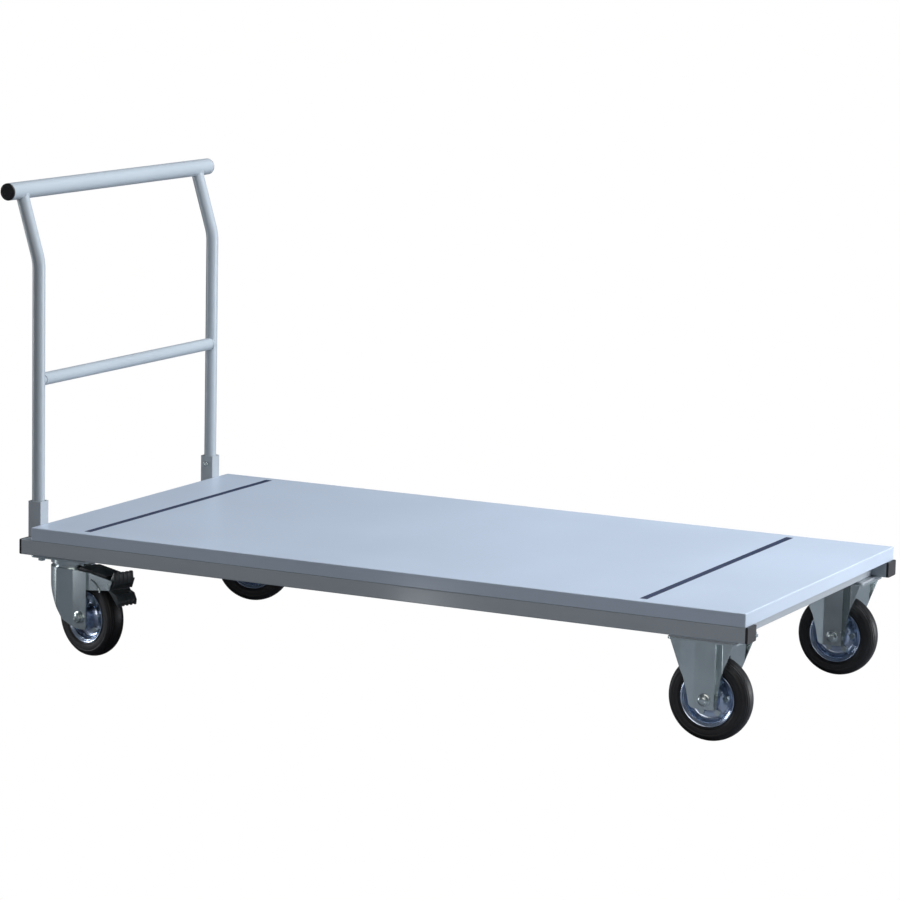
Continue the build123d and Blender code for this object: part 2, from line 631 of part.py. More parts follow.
for side, base in swivel_bases.items():
    square = square_bases[side]
    blank = top_plate(square)
    upper_race = bearing_race(square, race_mid + RACE_GAP / 2, PLATE_UNDER)
    lower_race = bearing_race(base, CROWN_TOP, race_mid - RACE_GAP / 2)
    groove = ball_groove(base)
    drill = axle_drill(base, TRAIL)
    with BuildPart() as plate:
        add(blank)
        add(upper_race)
        with BuildSketch(square.offset(PLATE_UNDER)):
            Circle(CROWN_R)
            Circle(CROWN_R - DUST_SKIRT_WALL, mode=Mode.SUBTRACT)
        extrude(amount=-DUST_SKIRT_DROP)
        add(groove, mode=Mode.SUBTRACT)
        with BuildSketch(square.offset(PLATE_UNDER)):
            Circle(KINGPIN_D / 2 + RUN_FIT)
        extrude(amount=PLATE_THICK, mode=Mode.SUBTRACT)
    save(plate, "swivel_plate_" + side)

    with BuildPart() as fork:
        for out in (1, -1):
            with BuildSketch(base.offset(SWIVEL_FOOT_Z)):
                with BuildLine():
                    FilletPolyline(
                        (0, out * (CROWN_R - FORK_SHEET / 2)),
                        (panel_start, out * cheek_mid),
                        (fork_front, out * cheek_mid),
                        radius=BEND_PANEL_R,
                    )
                trace(line_width=FORK_SHEET)
            extrude(amount=CROWN_TOP - SWIVEL_FOOT_Z)
        with BuildSketch(base.offset(SWIVEL_FOOT_Z)):
            Circle(CROWN_R)
            Circle(CROWN_R - FORK_SHEET, mode=Mode.SUBTRACT)
            with Locations((CROWN_R, 0)):
                Rectangle(2 * CROWN_R, 2 * CROWN_R, mode=Mode.SUBTRACT)
        extrude(amount=CROWN_TOP - SWIVEL_FOOT_Z)
        with BuildSketch(base.offset(CROWN_TOP)):
            Circle(CROWN_R)
            with Locations((CROWN_R, 0)):
                Rectangle(2 * CROWN_R, 2 * CROWN_R, mode=Mode.SUBTRACT)
            with BuildLine():
                Polyline(
                    (0, CROWN_R),
                    (panel_start, FORK_OUTER / 2),
                    (fork_front, FORK_OUTER / 2),
                    (fork_front, -FORK_OUTER / 2),
                    (panel_start, -FORK_OUTER / 2),
                    (0, -CROWN_R),
                    close=True,
                )
            make_face()
        extrude(amount=-FORK_SHEET)
        with BuildSketch(beside(base, 0, CROWN_R * 2, 0)) as side_outline:
            with BuildLine():
                Polyline(
                    (-CROWN_R, CROWN_TOP),
                    (-CROWN_R, AXLE_Z + 78),
                    (-CROWN_R + 18, AXLE_Z + 58),
                    (-CROWN_R + 31, AXLE_Z + 36),
                    (-CROWN_R + 47, AXLE_Z + 9),
                    (-CROWN_R + 57, AXLE_Z - 9),
                    (TRAIL - 17, SWIVEL_FOOT_Z),
                    (fork_front, SWIVEL_FOOT_Z),
                    (fork_front, CROWN_TOP),
                    close=True,
                )
            make_face()
            fillet(side_outline.vertices().sort_by(Axis.Y)[:7], radius=9)
        extrude(amount=4 * CROWN_R, mode=Mode.INTERSECT)
        add(lower_race)
        add(groove, mode=Mode.SUBTRACT)
        with BuildSketch(base.offset(CROWN_TOP)):
            Circle(KINGPIN_D / 2 + RUN_FIT)
        extrude(amount=-FORK_SHEET, mode=Mode.SUBTRACT)
        add(drill, mode=Mode.SUBTRACT)
    save(fork, "rear_fork_" + side)

    rear_axle_set = axle_set(base, TRAIL)
    with BuildPart() as rear_axle:
        add(rear_axle_set)
    save(rear_axle, "rear_axle_" + side)
    rear_nut = axle_nut(base, TRAIL)
    with BuildPart() as rear_axle_nut:
        add(rear_nut)
    save(rear_axle_nut, "rear_axle_nut_" + side)
    make_wheel(base, TRAIL, "rear_" + side)

    # Brake: a zinc channel between the cheeks, a black cover over it and a foot pedal on a pin
    arm_start = fork_front + ARM_STEP_GAP
    cover_start = race_outer + COVER_GAP
    arm_drop = COVER_SLOPE * (ARM_END - arm_start)
    roof_end = CROWN_TOP - COVER_SLOPE * (COVER_END - arm_start)
    with BuildPart() as arm:
        for out in (1, -1):
            with BuildSketch(beside(base, 0, out * (CHEEK_IN - ARM_SHEET / 2), 0)):
                with BuildLine():
                    Polyline(
                        (TRAIL, CROWN_TOP - FORK_SHEET),
                        (TRAIL + 10, ARM_FOOT_Z),
                        (ARM_END - 8, ARM_FOOT_Z + ARM_FOOT_RISE),
                        (ARM_END, CROWN_TOP - arm_drop),
                        (arm_start, CROWN_TOP),
                        (arm_start, CROWN_TOP - FORK_SHEET),
                        close=True,
                    )
                make_face()
                with Locations((PEDAL_X, PEDAL_Z)):
                    Circle(PEDAL_PIN_D / 2 + RUN_FIT, mode=Mode.SUBTRACT)
            extrude(amount=ARM_SHEET / 2, both=True)
        with BuildSketch(beside(base, 0, 0, 0)):
            with BuildLine():
                Polyline(
                    (arm_start, CROWN_TOP),
                    (arm_start, CROWN_TOP - ARM_SHEET),
                    (COVER_END, roof_end - ARM_SHEET),
                    (COVER_END, roof_end),
                    close=True,
                )
            make_face()
        extrude(amount=CHEEK_IN - ARM_SHEET / 2, both=True)
    save(arm, "brake_arm_" + side)

    with BuildPart() as cover:
        with BuildSketch(beside(base, 0, 0, 0)):
            with BuildLine():
                Polyline(
                    (cover_start, CROWN_TOP),
                    (arm_start, CROWN_TOP),
                    (COVER_END, roof_end),
                    (COVER_END, roof_end + COVER_THICK - 2),
                    (cover_start + 8, CROWN_TOP + COVER_THICK),
                    (cover_start, CROWN_TOP + 2),
                    close=True,
                )
            make_face()
        extrude(amount=COVER_WIDTH / 2, both=True)
    save(cover, "brake_cover_" + side)

    with BuildPart() as pin:
        with BuildSketch(beside(base, PEDAL_X, CHEEK_IN + 1.5, PEDAL_Z)):
            Circle(PEDAL_PIN_D / 2)
        extrude(amount=2 * (CHEEK_IN + 1.5))
    save(pin, "pedal_pin_" + side)

    with BuildPart() as pedal:
        with BuildSketch(beside(base, PEDAL_X, 0, PEDAL_Z)):
            with BuildLine():
                Polyline(PEDAL_OUTLINE, close=True)
            make_face()
            Circle(PEDAL_PIN_D / 2 + RUN_FIT, mode=Mode.SUBTRACT)
        extrude(amount=PEDAL_WIDTH / 2, both=True)
    save(pedal, "brake_pedal_" + side)

with BuildPart() as balls:
    for square in square_bases.values():
        for index in range(BALL_COUNT):
            angle = radians(360 / BALL_COUNT * index)
            spot = square.from_local_coords((RACE_R * cos(angle), RACE_R * sin(angle), race_mid))
            with Locations(spot):
                Sphere(BALL_D / 2)
save(balls, "swivel_balls")

with BuildPart() as kingpins:
    for square in square_bases.values():
        with BuildSketch(square.offset(CASTER_HEIGHT)):
            Circle(KINGPIN_D / 2)
        extrude(amount=-(CASTER_HEIGHT - kingpin_nut_z))
        with BuildSketch(square.offset(kingpin_nut_z)):
            Circle(KINGPIN_HEAD_D / 2)
        extrude(amount=-6)
save(kingpins, "kingpins")
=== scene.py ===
"""Looks of a platform cart: painted steel deck and handle, zinc-plated casters, rubber tyres."""
import json
import math

import bpy
from mathutils import Matrix, Vector


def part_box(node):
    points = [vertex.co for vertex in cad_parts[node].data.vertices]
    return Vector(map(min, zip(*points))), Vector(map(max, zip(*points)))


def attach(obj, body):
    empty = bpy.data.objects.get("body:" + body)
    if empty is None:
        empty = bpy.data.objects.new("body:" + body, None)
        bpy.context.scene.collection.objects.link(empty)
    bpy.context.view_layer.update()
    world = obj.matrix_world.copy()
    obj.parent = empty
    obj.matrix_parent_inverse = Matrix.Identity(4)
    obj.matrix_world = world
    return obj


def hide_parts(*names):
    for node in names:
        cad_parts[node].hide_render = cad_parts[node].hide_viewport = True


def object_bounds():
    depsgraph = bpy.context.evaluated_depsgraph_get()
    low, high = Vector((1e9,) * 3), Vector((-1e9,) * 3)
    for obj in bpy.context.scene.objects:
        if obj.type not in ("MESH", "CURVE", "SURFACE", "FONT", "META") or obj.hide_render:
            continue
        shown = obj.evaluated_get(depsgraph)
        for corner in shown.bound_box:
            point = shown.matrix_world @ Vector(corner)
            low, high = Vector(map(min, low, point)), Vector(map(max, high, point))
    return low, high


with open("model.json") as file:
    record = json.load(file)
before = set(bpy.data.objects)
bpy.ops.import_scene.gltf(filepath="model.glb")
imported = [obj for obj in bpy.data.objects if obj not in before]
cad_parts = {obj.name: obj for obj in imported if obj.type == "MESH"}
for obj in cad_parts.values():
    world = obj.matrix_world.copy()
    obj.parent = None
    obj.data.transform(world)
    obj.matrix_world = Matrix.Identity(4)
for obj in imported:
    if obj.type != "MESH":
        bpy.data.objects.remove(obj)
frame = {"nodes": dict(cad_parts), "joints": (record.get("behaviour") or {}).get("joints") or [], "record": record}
CAD_BOX = [list(corner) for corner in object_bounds()]

bl_info = {
    "name": "Platform Cart",
    "version": (1, 0, 0),
    "blender": (4, 5, 0),
    "location": "View3D > Sidebar > Cart",
    "description": "Builds the visible pieces, finishes and studio of a platform cart",
    "category": "Object",
}

MM = 0.001
SIDES = {"left": 1, "right": -1}
JOINTS = {joint["name"]: joint for joint in frame["joints"]}
NODES = frame["nodes"]

# this lamp is left out of reflections, where it would burn out on the deck
MATT_LAMP = "front_softbox"
# studio: name, place, aimed at, width and height in metres, power in watts, colour
LIGHTS = (
    ("top_softbox", (1.1, 0.5, 3.0), (0.1, 0, 0.25), (2.6, 2.6), 118, "#F3F5FB"),
    (MATT_LAMP, (3.7, 1.7, 1.5), (0.1, 0, 0.3), (3.0, 2.2), 182, "#F8F9FC"),
    ("near_fill", (0.6, -5.0, 1.6), (0, 0, 0.25), (3.0, 2.0), 36, "#FCF5EE"),
    ("handle_reflector", (-3.1, -0.75, 0.55), (-0.6, -0.3, 0.15), (0.2, 1.2), 17, "#F4F6FA"),
)
# seen only in reflections: a dimmer copy of the front softbox, a low sheet for the treads, and strips
# that draw the bright lines along the bends of the forks
GLINTS = (
    ("front_glint_sheet", (3.7, 1.7, 1.5), (0.1, 0, 0.3), (3.0, 2.2), 42, "#F8F9FC"),
    ("tread_glint_sheet", (3.0, 1.6, 0.3), (0.7, -0.1, 0.1), (2.2, 0.7), 36, "#F8F9FC"),
    ("rear_glint", (-1.45, -0.58, 0.06), (-0.7, -0.3, 0.1), (0.14, 0.3), 0.3, "#F4F7FC"),
    ("front_glint", (0.05, -0.56, 0.03), (0.7, -0.3, 0.1), (0.08, 0.3), 0.4, "#F4F7FC"),
)
AIR_COLOUR = "#DDE6F2"
AIR_STRENGTH = 0.12
FLOOR_BOUNCE = "#83878D"
WHITE = "#FFFFFF"

# outlines of turned pieces, in millimetres: (along the axle from the middle, radius)
TYRE_HALF = (
    # seat on the rim, and the bead at its foot
    (0, 43.5), (14, 47.6), (16.3, 51.2), (17.8, 54), (18.9, 55.5), (18.6, 56.3), (19.6, 57.5),
    # side wall with one fine groove, and the shoulder
    (20, 59.5), (20, 65.5), (19.7, 66.0), (19.7, 66.8), (20, 67.4), (20, 69), (19.3, 71.6), (18.1, 73.5),
    # three grooves, and the crowned tread
    (17.6, 72.9), (16.8, 73.4), (16.6, 74.8), (14.7, 76.3), (14.2, 75.3), (13.3, 75.7), (13.1, 77.1),
    (10.9, 78.1), (10.4, 77.0), (9.5, 77.3), (9.2, 78.6), (6.5, 79.4), (3.2, 79.9), (0, 80),
)
RIM_HALF = (
    # seat of the tyre, and the rolled lip
    (0, 43.5), (14, 47.6), (16.3, 51.2), (16.9, 52.1), (17.7, 52.4), (18.5, 52.1), (18.9, 51.3),
    (18.6, 50.2), (17.6, 48.6), (16.4, 47.6), (15.9, 46.0), (14.6, 44.6),
    # inner wall, dished down to the flat web
    (10.2, 43.0), (7.2, 42.3), (5.0, 40.8), (3.5, 38.2), (3.0, 35.5), (3.0, 27),
    # hub
    (3.4, 24.4), (4.8, 22.4), (6.2, 20.6), (8.0, 19.2), (11.0, 18.0), (14, 17), (27, 17), (28, 16.2),
    (28, 13.5), (0, 13.5),
)
AXLE_OUTLINE = (
    (-33, 0), (-33, 6), (-29.5, 6), (-29.5, 10), (29.5, 10), (29.5, 6), (45.2, 6), (46, 5.2), (46, 0),
)
BOLT_CAP_OUTLINE = (
    (-40.3, 0), (-40.3, 5.8), (-39.9, 6.6), (-40.5, 7.4), (-39.6, 8.8), (-38, 9), (-33, 9), (-33, 0),
)
WASHER_OUTLINE = ((-35, 0), (-35, 11.2), (-34.6, 12), (-33, 12.3), (-33, 0))
BAR_PLUG_OUTLINE = (
    (0, 0), (3, 0), (3, 7.5), (2.5, 8.2), (2.5, 9.4), (3, 10.1), (3, 14.6), (2.4, 16.1), (1.4, 16.7),
    (0, 16.8),
)

# hexagon head of the axle bolts, 18 mm across its flats, with its foot and top along the axle
HEAD_CORNER_RADIUS = 18 / math.sqrt(3) * MM
HEAD_FOOT = -33 * MM
HEAD_TOP = -40 * MM
HEAD_EDGE = 1.0 * MM

# the pedal seen from its side, in millimetres from its pin
PEDAL_OUTLINE = (
    (-8, -2), (-6, 6.5), (3, 12), (9.5, 25.5), (14.5, 25.8), (15.5, 13), (14, 2), (7.5, -4), (4.5, -7.5),
    (8, -11.5), (19, -15), (26, -28), (25, -36), (20.5, -35), (5, -18), (-4, -11),
)
PEDAL_WIDTH = 48 * MM
# the pin's place from the floor point under the swivel's pivot
PEDAL_PIN = Vector((134, 0, 153)) * MM
# the ribs are slices of the same outline, grown a little about its middle, so many millimetres across
PEDAL_RIBS = (-20, -10, 0, 10, 20)
PEDAL_RIB_GROWTH = (1.06, 1, 1.05)
PEDAL_RIB_EDGE = 0.6 * MM
PEDAL_MIDDLE = Vector((9, 0, -5)) * MM

# bead on each face of the brake arm, in metres from the floor point under the pivot: it starts at one
# point and turns about another
BEAD_FACE_Y = 0.0292
BEAD_START_X, BEAD_START_Z = 0.111, 0.1372
BEAD_CENTRE_X, BEAD_CENTRE_Z = 0.084, 0.1302
BEAD_SWEEP = math.radians(72)

# welds: lean of the legs' upper ends under the bar, and the ripples left along each bead
LEG_LEAN = math.radians(-17)
WELD_RIPPLES = 26
WELD_RIPPLE_DEPTH = 0.16

# anti-slip strips: ribs across each, and one rib's outline as (share of its pitch, share of its height)
STRIP_RIBS = 6
STRIP_RIB_OUTLINE = ((0.2, 0), (0.35, 1), (0.65, 1), (0.8, 0))

BEAM_PLUG_EDGE = 1.0 * MM

# camera: a long lens, from the near front quarter, a little above the deck
CAMERA_AZIMUTH = math.radians(26.9)
CAMERA_ELEVATION = math.radians(9.3)
CAMERA_ROLL = math.radians(1.2)
CAMERA_TARGET = Vector((0.0033, 0.0, 0.4206))
CAMERA_DISTANCE = 7.0467
CAMERA_LENS_MM = 145.4
CAMERA_SENSOR_MM = 36.0

FLOOR_SIZE = 30
RELIEF_DEPTH = 0.2 * MM
TINY = 0.002 * MM


# ---------------------------------------------------------------- colours and nodes
def linear(hex_colour):
    """An sRGB hex colour as linear red, green, blue and a full alpha."""
    channels = [int(hex_colour[i:i + 2], 16) / 255 for i in (1, 3, 5)]
    return [c / 12.92 if c <= 0.04045 else ((c + 0.055) / 1.055) ** 2.4 for c in channels] + [1.0]


def add_node(tree, kind, sockets=None):
    """Add a shader node; a socket's value is a number, a colour or another node's output to link."""
    made = tree.nodes.new(kind)
    for key, value in (sockets or {}).items():
        if isinstance(value, bpy.types.NodeSocket):
            tree.links.new(value, made.inputs[key])
        else:
            made.inputs[key].default_value = value
    return made


def shade(colour, factor):
    """A lighter or darker version of a linear colour."""
    return [min(1.0, channel * factor) for channel in colour[:3]] + [1.0]


def surface(name, colour, roughness, sockets, patches, grain):
    """A finish whose colour and roughness wander in patches, with a fine grain in relief.

    patches are (size in mm, share that the colour wanders, how far the roughness wanders), and grain
    is (size in mm, noise detail, strength of the relief).
    """
    patch_mm, colour_spread, roughness_spread = patches
    grain_mm, grain_detail, strength = grain
    material = bpy.data.materials.new(name)
    material.use_nodes = True
    tree = material.node_tree
    tree.nodes.clear()
    point = add_node(tree, "ShaderNodeTexCoord").outputs["Object"]
    patchwork = add_node(tree, "ShaderNodeTexNoise", {
        "Vector": point, "Scale": 1 / (patch_mm * MM), "Detail": 4.0, "Roughness": 0.6,
    })
    ramp = add_node(tree, "ShaderNodeValToRGB", {"Fac": patchwork.outputs["Fac"]})
    low, high = ramp.color_ramp.elements
    low.position, low.color = 0.32, shade(colour, 1 - colour_spread)
    high.position, high.color = 0.68, shade(colour, 1 + colour_spread)
    varied = add_node(tree, "ShaderNodeMapRange", {
        "Value": patchwork.outputs["Fac"],
        "To Min": roughness - roughness_spread,
        "To Max": roughness + roughness_spread,
    })
    grains = add_node(tree, "ShaderNodeTexNoise", {
        "Vector": point, "Scale": 1 / (grain_mm * MM), "Detail": grain_detail,
    })
    bump = add_node(tree, "ShaderNodeBump", {
        "Height": grains.outputs["Fac"], "Strength": strength, "Distance": RELIEF_DEPTH,
    })
    shader = add_node(tree, "ShaderNodeBsdfPrincipled", {
        "Base Color": ramp.outputs["Color"],
        "Roughness": varied.outputs["Result"],
        "Normal": bump.outputs["Normal"],
        **sockets,
    })
    add_node(tree, "ShaderNodeOutputMaterial", {"Surface": shader.outputs["BSDF"]})
    return material


def powder_coat(name, colour, roughness):
    """Polyester powder coat, sprayed and baked: satin, with a fine orange peel and slight unevenness."""
    # orange peel is about 1.2 mm across
    return surface(name, colour, roughness, {"IOR": 1.5}, (330, 0.03, 0.045), (1.2, 2.0, 0.12))


def zinc_plate(name, colour, roughness):
    """Blue-passivated zinc on pressed steel: bright, with a faint mottle and duller handled patches."""
    # the mottle of the plating is about 2.5 mm across
    return surface(name, colour, roughness, {"Metallic": 1.0}, (45, 0.07, 0.07), (2.5, 3.0, 0.05))


def moulded_plastic(name, colour, roughness, grain_mm):
    """Injection-moulded plastic: matt, with a fine spark-eroded grain, drawn coarse enough to show."""
    return surface(name, colour, roughness, {"IOR": 1.53}, (20, 0.15, 0.05), (grain_mm, 2.0, 0.15))


def tyre_rubber(name, colour, roughness):
    """Solid black rubber, moulded: near black with a soft sheen and dust in its fine pores."""
    # the pores are finer than this 0.9 mm, which is as coarse as they need to be to show
    return surface(name, colour, roughness, {"IOR": 1.52}, (17, 0.25, 0.06), (0.9, 2.0, 0.2))


# ---------------------------------------------------------------- what a user may change
def colour_property(label, description, hex_colour):
    return bpy.props.FloatVectorProperty(
        name=label, description=description, default=linear(hex_colour), subtype="COLOR", size=4,
        min=0, max=1,
    )


def length_property(label, description, millimetres, highest):
    return bpy.props.FloatProperty(
        name=label, description=description, default=millimetres * MM, min=0, max=highest * MM,
        unit="LENGTH",
    )


class CartColours(bpy.types.PropertyGroup):
    """Colours of the cart's finishes"""

    deck: colour_property("Deck", "Powder coat of the deck", "#B6C3D2")
    frame: colour_property("Chassis", "Powder coat of the beams and sockets", "#A8B0B6")
    handle: colour_property("Handle", "Powder coat of the handle tubes", "#A7B1B8")
    strip: colour_property("Anti-Slip Strips", "Rubber of the strips in the deck", "#1A2844")
    tyre: colour_property("Tyres", "Rubber of the tyres", "#18181A")
    plug: colour_property("Plugs", "Plastic of the tube plugs", "#151517")
    pedal: colour_property("Pedals", "Plastic of the brake pedals", "#393F41")
    rim: colour_property("Rims", "Blue-passivated zinc of the rims", "#C4D2E8")
    zinc: colour_property("Zinc Plate", "Plating of the forks, plates and bolts", "#C6D0D0")


class CartSizes(bpy.types.PropertyGroup):
    """Sizes of the cart's small details"""

    sheet_edge: length_property("Sheet Edge", "Rounding of the cut edges of plates and forks", 0.7, 1.5)
    pedal_edge: length_property("Pedal Edge", "Rounding of the moulded pedal's edges", 1.0, 2.0)
    pedal_rib: length_property("Pedal Rib", "Width of the ribs across the pedal", 5.0, 8.0)
    weld_bead: length_property("Weld Bead", "Radius of the weld beads on the handle", 1.5, 3.0)
    brake_bead: length_property("Brake Bead", "Radius of the pressed bead on the brake arm", 2.2, 3.0)
    strip_rib: length_property("Strip Rib", "Height of the ribs on the anti-slip strips", 0.3, 1.0)


MATERIALS = {}


def make_materials(colours):
    """One material for each slot of the record."""
    return {
        "powder_coat_deck": powder_coat("deck powder coat", colours.deck, 0.36),
        "powder_coat_frame": powder_coat("chassis powder coat", colours.frame, 0.36),
        "powder_coat_handle": powder_coat("handle powder coat", colours.handle, 0.3),
        "grip_strip": moulded_plastic("ribbed strip rubber", colours.strip, 0.6, 0.8),
        "plastic_plug": moulded_plastic("plug polythene", colours.plug, 0.4, 0.6),
        "tyre": tyre_rubber("tyre rubber", colours.tyre, 0.46),
        "zinc_rim": zinc_plate("rim zinc", colours.rim, 0.25),
        "zinc_fork": zinc_plate("fork zinc", colours.zinc, 0.24),
        "zinc_fastener": zinc_plate("fastener zinc", shade(colours.zinc, 1.1), 0.24),
        # the swivel's balls and race are half as bright as the zinc: darker steel, with painted shade for the race
        # lying in shadow under the plate
        "bearing_steel": zinc_plate("bearing steel with painted shade", shade(colours.zinc, 0.5), 0.3),
        "pedal_plastic": moulded_plastic("pedal nylon", colours.pedal, 0.38, 0.7),
        "black_steel": moulded_plastic("black coated steel", shade(colours.pedal, 0.35), 0.3, 0.6),
    }


# ---------------------------------------------------------------- making pieces
def deselect():
    if bpy.context.object and bpy.context.object.mode != "OBJECT":
        bpy.ops.object.mode_set(mode="OBJECT")
    bpy.ops.object.select_all(action="DESELECT")


def choose(*pieces):
    """Select only these pieces; the first is the active one."""
    deselect()
    for piece in pieces:
        piece.select_set(True)
    bpy.context.view_layer.objects.active = pieces[0]


def mirrored(half):
    """A closed outline from its half, which starts and ends on the middle plane."""
    return list(half) + [(-along, radius) for along, radius in reversed(half[1:-1])]


def draw_outline(points):
    """Draw a closed outline from point to point; edit mode stays on, with all of it selected."""
    deselect()
    bpy.ops.mesh.primitive_plane_add(size=MM)
    bpy.ops.object.mode_set(mode="EDIT")
    bpy.ops.mesh.merge(type="CENTER")
    bpy.ops.transform.translate(value=points[0])
    for here, there in zip(points, points[1:] + points[:1]):
        bpy.ops.mesh.extrude_vertices_move(TRANSFORM_OT_translate={"value": there - here})
    bpy.ops.mesh.select_all(action="SELECT")
    bpy.ops.mesh.remove_doubles(threshold=TINY)
    bpy.ops.mesh.select_all(action="SELECT")
    return bpy.context.object


def close_shape():
    """Merge what meets, point every face outwards and leave edit mode."""
    bpy.ops.mesh.select_all(action="SELECT")
    bpy.ops.mesh.remove_doubles(threshold=TINY)
    bpy.ops.mesh.delete_loose()
    bpy.ops.mesh.select_all(action="SELECT")
    bpy.ops.mesh.normals_make_consistent(inside=False)
    bpy.ops.object.mode_set(mode="OBJECT")


def turned(outline, steps):
    """Spin a closed outline of (along Y, radius) in millimetres round the Y axis."""
    piece = draw_outline([Vector((radius, along, 0)) * MM for along, radius in outline])
    bpy.ops.mesh.spin(steps=steps, angle=math.tau, center=(0, 0, 0), axis=(0, 1, 0))
    close_shape()
    return piece


def extruded(points, run):
    """Fill a closed outline and extrude it along a run."""
    piece = draw_outline(points)
    bpy.ops.mesh.edge_face_add()
    bpy.ops.mesh.extrude_region_move(TRANSFORM_OT_translate={"value": run})
    close_shape()
    return piece


def round_edges(piece, width, segments=2, angle=30):
    """Bevel every edge that is sharper than an angle in degrees."""
    choose(piece)
    bpy.ops.object.modifier_add(type="BEVEL")
    bevel = piece.modifiers[-1]
    bevel.width = width
    bevel.segments = segments
    bevel.limit_method = "ANGLE"
    bevel.angle_limit = math.radians(angle)
    bpy.ops.object.modifier_apply(modifier=bevel.name)


def joined(*pieces):
    """Several pieces as one."""
    choose(*pieces)
    bpy.ops.object.join()
    return pieces[0]


def own_copy(piece):
    """A copy with its own mesh."""
    copy = bpy.data.objects.new(piece.name, piece.data.copy())
    bpy.context.scene.collection.objects.link(copy)
    return copy


def pressed_copy(node):
    """A CAD piece's shape as a new piece, its loose triangles merged into whole faces."""
    piece = own_copy(NODES[node])
    choose(piece)
    bpy.ops.object.mode_set(mode="EDIT")
    bpy.ops.mesh.select_all(action="SELECT")
    bpy.ops.mesh.remove_doubles(threshold=TINY)
    bpy.ops.mesh.dissolve_limited(angle_limit=math.radians(0.5))
    bpy.ops.object.mode_set(mode="OBJECT")
    return piece


def finish_piece(piece, name, body, slot, replaced=(), place=None, smooth=35, level_faces=False):
    """Put a piece in its place, smooth it, and give it its name, finish and body."""
    if place is not None:
        piece.matrix_world = place
    choose(piece)
    bpy.ops.object.transform_apply(location=True, rotation=True, scale=True)
    bpy.ops.object.shade_smooth_by_angle(angle=math.radians(smooth))
    if level_faces:
        # the big faces keep their own normals, so only the rounded edges between them shade as curved
        bpy.ops.object.modifier_add(type="WEIGHTED_NORMAL")
        piece.modifiers[-1].keep_sharp = True
        bpy.ops.object.modifier_apply(modifier=piece.modifiers[-1].name)
    piece.name = piece.data.name = name
    piece.data.materials.clear()
    piece.data.materials.append(MATERIALS[slot])
    deselect()
    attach(piece, body)
    if replaced:
        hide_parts(*replaced)


def joint_place(name):
    """Where a joint is."""
    return Vector(JOINTS[name]["pos_m"])


def wheel_place(end, side):
    """Middle of a wheel, turned so that Y runs along its axle."""
    name = f"{end}_wheel_spin_{side}"
    axle = JOINTS[name]["axis"]
    return Matrix.Translation(joint_place(name)) @ Matrix.Rotation(math.atan2(-axle[0], axle[1]), 4, "Z")


def caster_place(side):
    """Floor point under a swivel caster's pivot, with X towards its trail."""
    pivot = joint_place("swivel_turn_" + side)
    pivot.z = 0
    return Matrix.Translation(pivot) @ wheel_place("rear", side).to_3x3().to_4x4()


WHEELS = [(end, side) for end in ("front", "rear") for side in SIDES]


class CART_OT_finish_frame(bpy.types.Operator):
    """Give every carried-over piece its finish"""

    bl_idname = "cart.finish_frame"
    bl_label = "Finish the Steel Pieces"

    def execute(self, context):
        MATERIALS.update(make_materials(context.scene.cart_colours))
        for row in frame["record"]["subparts"]:
            for mesh_slot in NODES[row["node"]].material_slots:
                mesh_slot.material = MATERIALS[row["material_slot"]]
        deselect()
        return {"FINISHED"}


class CART_OT_tyres(bpy.types.Operator):
    """Turn a solid rubber tyre with grooved shoulders, once for each wheel"""

    bl_idname = "cart.tyres"
    bl_label = "Tyres"

    def execute(self, context):
        pattern = turned(mirrored(TYRE_HALF), steps=128)
        for end, side in WHEELS:
            finish_piece(
                own_copy(pattern), f"{end}_{side}_ribbed_tyre", f"{end}_wheel_{side}", "tyre",
                [f"{end}_{side}_tyre"], wheel_place(end, side), smooth=28,
            )
        bpy.data.objects.remove(pattern)
        return {"FINISHED"}


class CART_OT_rims(bpy.types.Operator):
    """Turn a pressed rim with a rolled lip and a dished web, once for each wheel"""

    bl_idname = "cart.rims"
    bl_label = "Rims"

    def execute(self, context):
        pattern = turned(mirrored(RIM_HALF), steps=96)
        for end, side in WHEELS:
            finish_piece(
                own_copy(pattern), f"{end}_{side}_rolled_rim", f"{end}_wheel_{side}", "zinc_rim",
                [f"{end}_{side}_rim"], wheel_place(end, side), smooth=40,
            )
        bpy.data.objects.remove(pattern)
        return {"FINISHED"}


class CART_OT_forks(bpy.types.Operator):
    """Round the cut edges of the pressed forks, plates, brake arms and covers"""

    bl_idname = "cart.forks"
    bl_label = "Forks and Plates"

    def execute(self, context):
        for side in SIDES:
            for node, body, slot in (
                ("front_fork_" + side, "frame", "zinc_fork"),
                ("swivel_plate_" + side, "frame", "zinc_fork"),
                ("rear_fork_" + side, "swivel_" + side, "zinc_fork"),
                ("brake_arm_" + side, "swivel_" + side, "zinc_fork"),
                ("brake_cover_" + side, "swivel_" + side, "black_steel"),
            ):
                piece = pressed_copy(node)
                round_edges(piece, context.scene.cart_sizes.sheet_edge)
                finish_piece(piece, node + "_pressing", body, slot, [node], level_faces=True)
        return {"FINISHED"}


